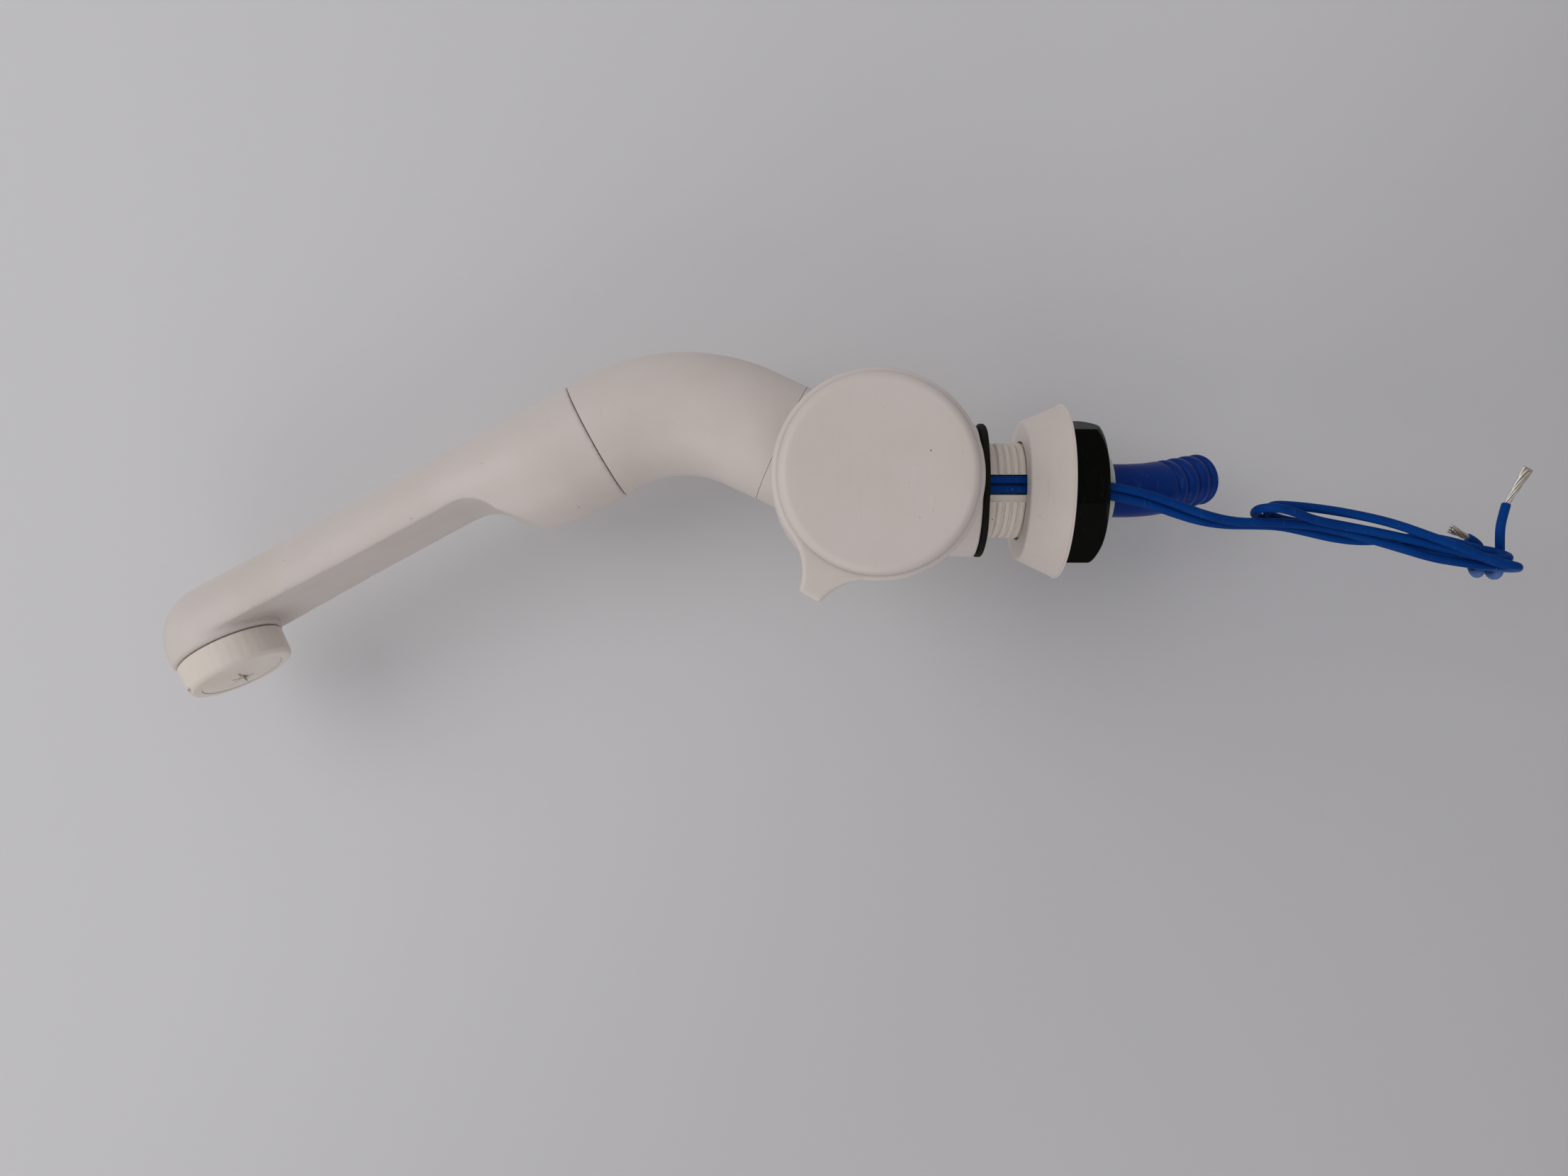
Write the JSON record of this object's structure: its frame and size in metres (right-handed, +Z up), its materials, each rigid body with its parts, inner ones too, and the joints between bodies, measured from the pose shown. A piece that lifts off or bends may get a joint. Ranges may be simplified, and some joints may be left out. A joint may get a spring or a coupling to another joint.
{
  "type": "folding water tap",
  "caption": "Deck-mounted cold-water tap with folding swivel spout, side knob, pump switch wires and angled barbed tail.",
  "frame": {"origin": "on the shank's axis, in the plane of the gasket's underside, which is the top of the worktop", "axes": "+Z up the shank's axis; the knob faces -Y; the folded spout leans towards -X and the spout in use reaches towards +X"},
  "size_m": [0.0946, 0.0778, 0.3678],
  "materials": {
    "white_plastic": "satin gloss, warm white moulding",
    "ivory_plastic": "satin, slightly yellower white",
    "collar_plastic": "satin, warm white",
    "shank_plastic": "satin, warm pale moulding",
    "bush_plastic": "satin, pale grey-green",
    "inner_plastic": "matte",
    "black_plastic": "gloss black moulding",
    "black_rubber": "matte black",
    "blue_plastic": "gloss dark blue moulding",
    "blue_insulation": "satin blue wire insulation",
    "tinned_copper": "tinned strands",
    "steel": "bright spring steel",
    "brass": "turned brass",
    "ceramic": "lapped white ceramic"
  },
  "bodies": {
    "body": {"valve_housing": "white_plastic", "threaded_shank": "shank_plastic", "base_gasket": "black_rubber", "cartridge_body": "inner_plastic", "cartridge_oring": "black_rubber", "cartridge_seat_seal": "black_rubber", "gland_nut": "inner_plastic", "fixed_disc": "ceramic", "switch_case": "black_plastic", "switch_terminals": "tinned_copper", "chamber_cover": "white_plastic", "tail_bush": "bush_plastic", "lead_a": "blue_insulation", "lead_b": "blue_insulation", "wire_a": "blue_insulation", "wire_b": "blue_insulation", "wire_hank": "blue_insulation", "wire_end_a": "blue_insulation", "wire_end_b": "blue_insulation", "bare_tip_a": "tinned_copper", "bare_tip_b": "tinned_copper"},
    "knob": {"knob_lever": "white_plastic", "knob_cover": "white_plastic", "knob_screw": "steel", "valve_spindle": "brass", "spindle_oring": "black_rubber", "moving_disc": "ceramic", "switch_cam": "inner_plastic"},
    "switch_plunger": {"switch_button": "inner_plastic"},
    "elbow": {"elbow_tube": "white_plastic", "lower_oring": "black_rubber", "upper_oring": "black_rubber", "lower_clip": "steel", "upper_clip": "steel"},
    "arm": {"spout_arm": "white_plastic"},
    "aerator_core": {"aerator_insert": "ivory_plastic", "aerator_washer": "black_rubber"},
    "aerator_cap": {"aerator_cap": "ivory_plastic"},
    "collar": {"counter_collar": "collar_plastic"},
    "nut": {"locking_nut": "black_plastic"},
    "hose_tail": {"hose_tail": "blue_plastic", "tail_oring": "black_rubber"}
  },
  "joints": [
    {"name": "knob_turn", "type": "hinge", "parent": "body", "child": "knob", "pos_m": [0, 0, 0.0318], "axis": [0, 1, 0], "range_deg": [0, 90]},
    {"name": "switch_travel", "type": "slide", "parent": "body", "child": "switch_plunger", "axis": [0, 0, -1], "range_m": [0, 0.0007]},
    {"name": "elbow_swivel", "type": "hinge", "parent": "body", "child": "elbow", "pos_m": [0.01298, 0, 0.05434], "axis": [0.4226, 0, 0.9063], "range_deg": [-180, 180]},
    {"name": "arm_swivel", "type": "hinge", "parent": "elbow", "child": "arm", "pos_m": [0.01354, 0, 0.10507], "axis": [-0.4756, 0, 0.8796], "range_deg": [-180, 180]},
    {"name": "aerator_lift", "type": "slide", "parent": "arm", "child": "aerator_core", "axis": [-0.874, -0.1132, -0.4726], "range_m": [0, 0.0016]},
    {"name": "aerator_turn", "type": "hinge", "parent": "aerator_core", "child": "aerator_cap", "pos_m": [-0.04154, 0, 0.20694], "axis": [-0.874, -0.1132, -0.4726], "range_deg": [0, 540]},
    {"name": "collar_slide", "type": "slide", "parent": "body", "child": "collar", "axis": [0, 0, 1], "range_m": [0, 0.0094]},
    {"name": "nut_turn", "type": "hinge", "parent": "collar", "child": "nut", "pos_m": [0, 0, -0.0258], "axis": [0, 0, 1], "range_deg": [0, 1674]},
    {"name": "tail_swivel", "type": "hinge", "parent": "body", "child": "hose_tail", "pos_m": [0, 0, -0.0347], "axis": [0, 0, 1], "range_deg": [-70, 100]}
  ],
  "couplings": [
    {"joint": "switch_travel", "follows": "knob_turn", "m_per_rad": 0.00038197},
    {"joint": "aerator_lift", "follows": "aerator_turn", "m_per_rad": 0.00015915},
    {"joint": "collar_slide", "follows": "nut_turn", "m_per_rad": 0.00031831}
  ]
}
